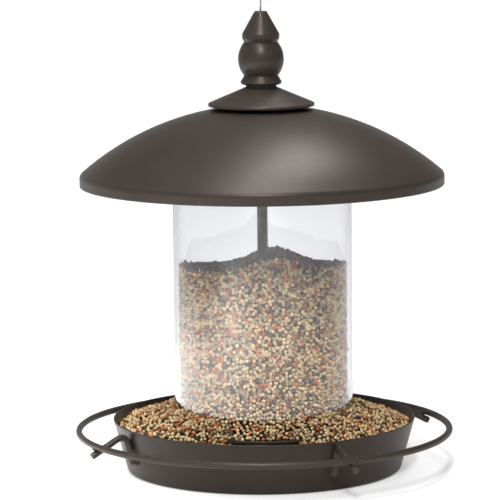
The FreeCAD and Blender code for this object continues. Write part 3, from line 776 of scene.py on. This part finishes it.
def ring_array_tree():
    """Geometry Nodes: repeat a piece round the feeder's axis."""
    tree = bpy.data.node_groups.new("Ring Array", "GeometryNodeTree")
    tree.is_modifier = True
    face = tree.interface
    face.new_socket("Piece", in_out="INPUT", socket_type="NodeSocketGeometry")
    face.new_socket("Count", in_out="INPUT", socket_type="NodeSocketInt").default_value = 4
    face.new_socket("First Angle", in_out="INPUT", socket_type="NodeSocketFloat").default_value = 0.0
    face.new_socket("Finish", in_out="INPUT", socket_type="NodeSocketMaterial")
    face.new_socket("Pieces", in_out="OUTPUT", socket_type="NodeSocketGeometry")
    given, result = tree.nodes.new("NodeGroupInput"), tree.nodes.new("NodeGroupOutput")
    points = add_node(tree, "GeometryNodePoints")
    feed(tree, points, "Count", given.outputs["Count"])
    turn = arithmetic(tree, "DIVIDE", math.tau, given.outputs["Count"])
    index = add_node(tree, "GeometryNodeInputIndex").outputs[0]
    angle = arithmetic(tree, "ADD", arithmetic(tree, "MULTIPLY", index, turn), given.outputs["First Angle"])
    rotation = add_node(tree, "ShaderNodeCombineXYZ")
    feed(tree, rotation, "Z", angle)
    place = add_node(tree, "GeometryNodeInstanceOnPoints")
    feed(tree, place, "Points", points.outputs[0])
    feed(tree, place, "Instance", given.outputs["Piece"])
    feed(tree, place, "Rotation", rotation.outputs[0])
    real = add_node(tree, "GeometryNodeRealizeInstances")
    feed(tree, real, 0, place.outputs[0])
    finish = add_node(tree, "GeometryNodeSetMaterial")
    feed(tree, finish, "Geometry", real.outputs[0])
    feed(tree, finish, "Material", given.outputs["Finish"])
    feed(tree, result, "Pieces", finish.outputs[0])
    return tree


# The clear tube

class FEEDER_OT_tube(bpy.types.Operator):
    """Turn the clear tube"""

    bl_idname = "feeder.tube"
    bl_label = "Clear Tube"

    def execute(self, context):
        bottom, top = ends("seed_tube")
        outside = top.x
        inside = outside - sizes().tube_wall
        edge = 0.3 * MM
        outline = soften([(inside, bottom.z, edge), (outside, bottom.z, edge), (outside, top.z, edge),
                          (inside, top.z, edge)], steps=3)
        tube = lathe("clear_tube", outline, around=256, sharp=math.radians(10))
        dress(tube, clear_plastic("clear_tube_plastic"))
        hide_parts("seed_tube")
        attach(tube, "tube")
        return {"FINISHED"}


# The cable

def cable_line(bottom, top):
    """The cable's smooth centre line, and the points along it."""
    data = bpy.data.curves.new("cable_line", "CURVE")
    data.dimensions = "3D"
    data.resolution_u = 60
    spline = data.splines.new("NURBS")
    heights = [bottom.z + (top.z - bottom.z) * step / 3 for step in range(4)]
    spline.points.add(len(heights) - 1)
    for point, height in zip(spline.points, heights):
        point.co = (0, 0, height, 1)
    spline.order_u = 3
    spline.use_endpoint_u = True
    line = bpy.data.objects.new("cable_line", data)
    bpy.context.scene.collection.objects.link(line)
    bpy.context.view_layer.update()
    mesh = bpy.data.meshes.new_from_object(line)
    points = [vert.co.copy() for vert in mesh.vertices]
    bpy.data.objects.remove(line)
    bpy.data.meshes.remove(mesh)
    return points


class FEEDER_OT_cable(bpy.types.Operator):
    """Lay up the hanging cable, pulled tight out of the finial"""

    bl_idname = "feeder.cable"
    bl_label = "Hanging Cable"

    def execute(self, context):
        bottom, top = ends("hanging_cable")
        width, lay = sizes().cable_width, sizes().cable_lay
        points = cable_line(bottom, top)
        build = bmesh.new()
        radius = width / 6
        wire_along(build, points, radius, STRAND_SIDES)
        for strand in range(OUTER_STRANDS):
            route = []
            for point in points:
                angle = math.tau * (strand / OUTER_STRANDS + (point.z - bottom.z) / lay)
                route.append(point + Vector((math.cos(angle), math.sin(angle), 0)) * (width / 3))
            wire_along(build, route, radius * 1.02, STRAND_SIDES)
        cable = finish_mesh(build, "hanging_cable_strands", math.radians(60))
        dress(cable, cable_metal())
        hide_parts("hanging_cable")
        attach(cable, "feeder_base")
        return {"FINISHED"}


# The feed

def feed_height_in_tube(x, y):
    """Top of the feed in the tube: a ridge beside the rod, with everything falling away to the back."""
    given = sizes()
    bore = high("seed_tube").x - given.tube_wall
    across = (x - given.ridge_side) / RIDGE_SPREAD
    front = -math.sqrt(max(bore * bore - x * x, 0))
    return given.tube_feed_level + given.ridge_height * math.exp(-across * across) - FEED_FALL * (y - front)


def smooth_step(value, start, end):
    share = min(max((value - start) / (end - start), 0), 1)
    return share * share * (3 - 2 * share)


def heap_height(distance, angle):
    """Top of the feed in the tray, eaten away at the front."""
    tube = high("seed_tube").x
    wall = high("tray_pan").x - HEAP_GAP
    share = (distance - tube) / (wall - tube)
    top = high("seed_heap").z
    full = top + (HEAP_RIM_LEVEL - top) * share
    lumps = 0.9 * MM * math.sin(angle * 5 + 1) + 0.6 * MM * math.sin(angle * 11 + distance * 90)
    eaten = EATEN_AT_TUBE + (EATEN_AT_WALL - EATEN_AT_TUBE) * share
    from_front = abs(math.remainder(angle + math.pi / 2, math.tau))
    return eaten + (full + lumps - eaten) * smooth_step(from_front, EATEN_FROM, EATEN_TO)


def surface_grid(name, rows, columns, place):
    """A grid carrier wound round the axis; place gives a point for two shares from 0 to 1."""
    build = bmesh.new()
    verts = [[build.verts.new(place(row / rows, column / columns)) for column in range(columns)]
             for row in range(rows + 1)]
    for near, far in zip(verts, verts[1:]):
        for column in range(columns):
            following = (column + 1) % columns
            build.faces.new((near[column], near[following], far[following], far[column]))
    mesh = bpy.data.meshes.new(name)
    build.to_mesh(mesh)
    build.free()
    piece = bpy.data.objects.new(name, mesh)
    bpy.context.scene.collection.objects.link(piece)
    return piece


def scatter_tree():
    """Geometry Nodes: lay grains of every kind over a surface, each with its own size, turn, kind and shade."""
    tree = bpy.data.node_groups.new("Scatter Grains", "GeometryNodeTree")
    tree.is_modifier = True
    face = tree.interface
    face.new_socket("Surface", in_out="INPUT", socket_type="NodeSocketGeometry")
    for name, default in (("Spacing", 2.0 * MM), ("Least Kind", 0.0), ("Least Shade", 0.0), ("Most Shade", 1.0),
                          ("Grain Width", 2.55 * MM), ("Unevenness", 0.4 * MM)):
        face.new_socket(name, in_out="INPUT", socket_type="NodeSocketFloat").default_value = default
    face.new_socket("Seed", in_out="INPUT", socket_type="NodeSocketInt").default_value = 1
    face.new_socket("Finish", in_out="INPUT", socket_type="NodeSocketMaterial")
    face.new_socket("Grains", in_out="OUTPUT", socket_type="NodeSocketGeometry")
    given, result = tree.nodes.new("NodeGroupInput"), tree.nodes.new("NodeGroupOutput")

    def random_value(kind, low_value, high_value, offset):
        node = add_node(tree, "FunctionNodeRandomValue", data_type=kind)
        first, result_socket = {"FLOAT": (2, 1), "FLOAT_VECTOR": (0, 0)}[kind]
        feed(tree, node, first, low_value)
        feed(tree, node, first + 1, high_value)
        shift = add_node(tree, "FunctionNodeIntegerMath", operation="ADD")
        feed(tree, shift, 0, given.outputs["Seed"])
        feed(tree, shift, 1, offset)
        feed(tree, node, "Seed", shift.outputs[0])
        return node.outputs[result_socket]

    scatter = add_node(tree, "GeometryNodeDistributePointsOnFaces", distribute_method="POISSON")
    feed(tree, scatter, "Mesh", given.outputs["Surface"])
    feed(tree, scatter, "Distance Min", given.outputs["Spacing"])
    feed(tree, scatter, "Density Max", 900000.0)
    feed(tree, scatter, "Seed", given.outputs["Seed"])

    kind = random_value("FLOAT", given.outputs["Least Kind"], 1.0, 11)
    stored_kind = add_node(tree, "GeometryNodeStoreNamedAttribute", data_type="FLOAT", domain="POINT")
    feed(tree, stored_kind, "Geometry", scatter.outputs["Points"])
    feed(tree, stored_kind, "Name", "grain_kind")
    feed(tree, stored_kind, "Value", kind)
    stored_shade = add_node(tree, "GeometryNodeStoreNamedAttribute", data_type="FLOAT", domain="POINT")
    feed(tree, stored_shade, "Geometry", stored_kind.outputs[0])
    feed(tree, stored_shade, "Name", "grain_shade")
    feed(tree, stored_shade, "Value",
         random_value("FLOAT", given.outputs["Least Shade"], given.outputs["Most Shade"], 12))

    known = add_node(tree, "GeometryNodeInputNamedAttribute", data_type="FLOAT")
    feed(tree, known, "Name", "grain_kind")

    def over(limit):
        node = add_node(tree, "FunctionNodeCompare", data_type="FLOAT", operation="GREATER_THAN")
        feed(tree, node, 0, known.outputs[0])
        feed(tree, node, 1, limit)
        return node.outputs[0]

    shape = None
    for index, (limit, form) in enumerate(GRAIN_KINDS):
        vector = add_node(tree, "ShaderNodeCombineXYZ")
        for axis, size in enumerate(form):
            feed(tree, vector, axis, size * 0.5)
        if shape is None:
            shape = vector.outputs[0]
            continue
        pick = add_node(tree, "GeometryNodeSwitch", input_type="VECTOR")
        feed(tree, pick, "Switch", over(GRAIN_KINDS[index - 1][0]))
        feed(tree, pick, "False", shape)
        feed(tree, pick, "True", vector.outputs[0])
        shape = pick.outputs[0]
    sized = scaled(tree, scaled(tree, shape, random_value("FLOAT", 0.86, 1.1, 13)), given.outputs["Grain Width"])

    lift = arithmetic(tree, "MULTIPLY", given.outputs["Unevenness"], random_value("FLOAT", -1.0, 0.0, 14))
    moved = add_node(tree, "GeometryNodeSetPosition")
    feed(tree, moved, "Geometry", stored_shade.outputs[0])
    feed(tree, moved, "Offset", scaled(tree, scatter.outputs["Normal"], lift))

    grain = add_node(tree, "GeometryNodeMeshUVSphere")
    feed(tree, grain, "Segments", 6)
    feed(tree, grain, "Rings", 4)
    feed(tree, grain, "Radius", 1.0)
    smooth = add_node(tree, "GeometryNodeSetShadeSmooth")
    feed(tree, smooth, "Geometry", grain.outputs["Mesh"])
    place = add_node(tree, "GeometryNodeInstanceOnPoints")
    feed(tree, place, "Points", moved.outputs[0])
    feed(tree, place, "Instance", smooth.outputs[0])
    feed(tree, place, "Scale", sized)
    feed(tree, place, "Rotation", random_value("FLOAT_VECTOR", (0, 0, 0), (math.tau, math.tau, math.tau), 15))
    real = add_node(tree, "GeometryNodeRealizeInstances")
    feed(tree, real, 0, place.outputs[0])
    finish = add_node(tree, "GeometryNodeSetMaterial")
    feed(tree, finish, "Geometry", real.outputs[0])
    feed(tree, finish, "Material", given.outputs["Finish"])
    feed(tree, result, "Grains", finish.outputs[0])
    return tree


def scatter_grains(carrier, name, tree, spacing, unevenness, seed, least_kind, shades):
    """Cover a carrier with grains and keep only the grains."""
    carrier.modifiers.new("scatter_grains", "NODES").node_group = tree
    grains = bake_nodes(carrier, name, {
        "Spacing": spacing, "Grain Width": sizes().grain, "Unevenness": unevenness, "Seed": seed,
        "Least Kind": least_kind, "Least Shade": shades[0], "Most Shade": shades[1],
        "Finish": seed_material("mixed_grain")})
    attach(grains, "feeder_base")
    return grains


class FEEDER_OT_seed(bpy.types.Operator):
    """Fill the tube and the tray with mixed grain"""

    bl_idname = "feeder.seed"
    bl_label = "Mixed Seed"

    def execute(self, context):
        given = sizes()
        bore = high("seed_tube").x - given.tube_wall
        face = bore - given.grain * FROM_BORE
        foot = low("seed_tube").z + given.grain * FROM_FOOT
        rod = high("center_rod").x + given.grain * FROM_ROD
        inner = high("seed_tube").x + given.grain * FROM_OUTSIDE
        tree = scatter_tree()

        def in_tube(start, end):
            def place(row, column):
                angle = math.tau * column
                x, y = face * math.cos(angle), face * math.sin(angle)
                top = feed_height_in_tube(x, y)
                share = start + (end - start) * row
                return (x, y, foot + (top - foot) * share)
            return place

        def on_top(row, column):
            angle = math.tau * column
            distance = face + (rod - face) * row
            x, y = distance * math.cos(angle), distance * math.sin(angle)
            return (x, y, feed_height_in_tube(x, y))

        def in_tray(row, column):
            angle = math.tau * column
            outer_level = heap_height(tray_bore(30 * MM), angle)
            outer = tray_bore(outer_level) - given.grain * FROM_WALL
            distance = outer + (inner - outer) * row
            return (distance * math.cos(angle), distance * math.sin(angle), heap_height(distance, angle))

        close, loose = given.grain * 0.70, given.grain * 0.83
        # Each part: name, place, grid, spacing, unevenness, least kind, range of shades.
        parts = [
            ("seed_in_tube_lower", in_tube(0, 0.5), 24, 160, close, 0.6 * MM, 0, (0.0, 0.95)),
            ("seed_in_tube_upper", in_tube(0.5, 1), 24, 160, close, 0.6 * MM, 0, (0.0, 0.95)),
            # Painted shade: the top's grains come mostly from the dark kinds and from the darker half of the shades.
            ("seed_top", on_top, 40, 160, loose, 0.9 * MM, 0.87, (0.0, 0.5)),
            # Painted shade: the tray's grains keep to the darker shades.
            ("seed_in_tray", in_tray, 24, 256, loose, 2.3 * MM, 0, (0.0, 0.7)),
        ]
        for index, (name, place, rows, columns, spacing, uneven, dark, shades) in enumerate(parts):
            carrier = surface_grid(name + "_carrier", rows, columns, place)
            scatter_grains(carrier, name, tree, spacing, uneven, FIRST_SEED + index * SEED_STEP, dark,
                                       shades)
        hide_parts("seed_column")
        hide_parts("seed_heap")
        bed = seed_bed(given)
        dress(bed, bed_material("packed_grain"))
        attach(bed, "feeder_base")
        return {"FINISHED"}


def seat_bore():
    return high("tube_seat").x - SEAT_WIDTH


def tray_bore(level):
    """Distance from the axis to the inside of the tray's wall at a height."""
    pan = high("tray_pan")
    return TRAY_FOOT_BORE + (pan.x - TRAY_FOOT_REACH) * level / pan.z


def seed_bed(given):
    """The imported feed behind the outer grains, one closed turned body that follows the heap and the ridge."""
    depth = given.grain * BED_DEPTH
    bore = high("seed_tube").x - given.tube_wall - depth * 1.55
    rod = high("center_rod").x + ROD_GAP
    seat = low("tube_seat").z - SEAT_GAP
    floor, floor_edge, corner = 1.6 * MM, 91 * MM, 4 * MM
    boss, boss_side, nut, nut_top = 17.3 * MM, 9.4 * MM, 8 * MM, 14 * MM
    around = 192
    build = bmesh.new()
    columns = []
    for step in range(around):
        angle = math.tau * step / around
        x, y = math.cos(angle), math.sin(angle)
        points = []
        for share in (0, 0.25, 0.5, 0.75, 1):
            distance = rod + (bore - rod) * share
            points.append((distance, feed_height_in_tube(x * distance, y * distance) - depth))
        neck = seat_bore() - FOOT_GAP
        outer = tray_bore(heap_height(0.1, angle)) - 0.4 * MM
        points += [(bore, high("tube_seat").z + 0.5 * MM), (neck, high("tube_seat").z), (neck, seat)]
        edge = high("tube_seat").x + 0.4 * MM
        first = heap_height(edge, angle) - depth
        if first > seat:
            points += [(edge, seat), (edge, max(first, seat + 0.1 * MM))]
        else:
            points += [(neck + (edge - neck) * 0.5, first), (edge, first)]
        for share in (0.25, 0.5, 0.75, 1):
            distance = edge + (outer - edge) * share
            points.append((distance, heap_height(distance, angle) - depth))
        points += [(tray_bore(corner) - FOOT_GAP, corner), (floor_edge, floor), (boss, floor), (boss, boss_side),
                   (nut, nut_top), (rod, nut_top)]
        columns.append([build.verts.new((distance * x, distance * y, up)) for distance, up in points])
    for here, there in zip(columns, columns[1:] + columns[:1]):
        for index in range(len(here)):
            build.faces.new((here[index - 1], there[index - 1], there[index], here[index]))
    return finish_mesh(build, "seed_bed")


class FEEDER_PT_panel(bpy.types.Panel):
    """Shows the feeder's sizes and finishes, and a button for each step"""

    bl_idname = "FEEDER_PT_panel"
    bl_label = "Hanging Seed Feeder"
    bl_space_type = "VIEW_3D"
    bl_region_type = "UI"
    bl_category = "Feeder"

    def draw(self, context):
        for group in (context.scene.feeder_sizes, context.scene.feeder_finishes):
            column = self.layout.column()
            for name in group.__annotations__:
                column.prop(group, name)
        for step in STEPS:
            self.layout.operator(step.bl_idname)


STEPS = (FEEDER_OT_stage, FEEDER_OT_cable, FEEDER_OT_coated_metal, FEEDER_OT_fasteners, FEEDER_OT_perch,
         FEEDER_OT_tube, FEEDER_OT_seed)
CLASSES = (FeederSizes, FeederFinishes, *STEPS, FEEDER_PT_panel)


def register():
    for item in CLASSES:
        bpy.utils.register_class(item)
    bpy.types.Scene.feeder_sizes = PointerProperty(type=FeederSizes)
    bpy.types.Scene.feeder_finishes = PointerProperty(type=FeederFinishes)


def unregister():
    del bpy.types.Scene.feeder_finishes
    del bpy.types.Scene.feeder_sizes
    for item in reversed(CLASSES):
        bpy.utils.unregister_class(item)


def main():
    register()
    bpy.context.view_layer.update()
    for step in STEPS:
        area, name = step.bl_idname.split(".")
        getattr(getattr(bpy.ops, area), name)()


if __name__ == "__main__":
    main()
